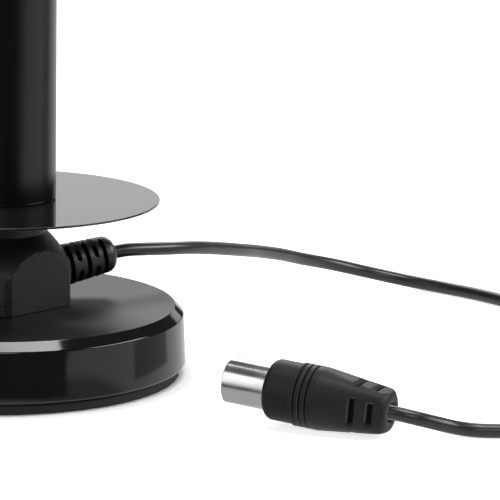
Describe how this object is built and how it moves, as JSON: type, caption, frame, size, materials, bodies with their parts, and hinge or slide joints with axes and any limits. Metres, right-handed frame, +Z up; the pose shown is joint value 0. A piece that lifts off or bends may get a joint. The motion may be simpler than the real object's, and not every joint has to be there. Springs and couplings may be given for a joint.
{
  "type": "indoor tv antenna",
  "caption": "Indoor mast aerial on a round magnetic base, with a thin ground disc, a segmented strain relief and a coiled lead that ends in a coaxial plug.",
  "frame": {"origin": "middle of the foot's underside, on the surface that the aerial stands on", "axes": "+Z up along the mast, +X above the strain relief where the lead leaves the block"},
  "size_m": [0.21, 0.1452, 0.2401],
  "materials": {
    "gloss_shell": "gloss",
    "satin_block": "satin",
    "satin_mast": "satin",
    "foot_rubber": "matte",
    "inner_plastic": "matte",
    "disc_aluminium": "satin",
    "zinc_steel": "zinc plated",
    "ferrite": "ground",
    "brass": "turned",
    "board": "satin",
    "white_plastic": "satin",
    "relief_rubber": "satin",
    "lead_pvc": "satin",
    "tie_nylon": "woven",
    "nickel": "bright nickel",
    "plug_pvc": "satin"
  },
  "bodies": {
    "root": {"base_shell": "gloss_shell", "magnet_yoke": "zinc_steel", "ring_magnet": "ferrite", "bottom_plate": "inner_plastic", "plate_screw_1": "zinc_steel", "plate_screw_2": "zinc_steel", "plate_screw_3": "zinc_steel", "rubber_foot": "foot_rubber", "block_screw_1": "zinc_steel", "block_screw_2": "zinc_steel", "block_screw_3": "zinc_steel", "socket_block": "satin_block", "ground_disc": "disc_aluminium", "mast_stud": "brass", "stud_nut": "brass", "mast_collar": "satin_mast", "mast_tube": "satin_mast", "mast_cap": "satin_mast", "matching_board": "board", "radiator_rod": "brass", "lower_spacer": "white_plastic", "upper_spacer": "white_plastic", "strain_relief": "relief_rubber", "feed_lead": "lead_pvc", "lead_out": "lead_pvc", "lead_coil": "lead_pvc", "coil_tie": "tie_nylon", "lead_in": "lead_pvc", "plug_sleeve": "nickel", "plug_pin": "nickel", "plug_insulator": "white_plastic", "plug_grip": "plug_pvc"}
  },
  "joints": []
}
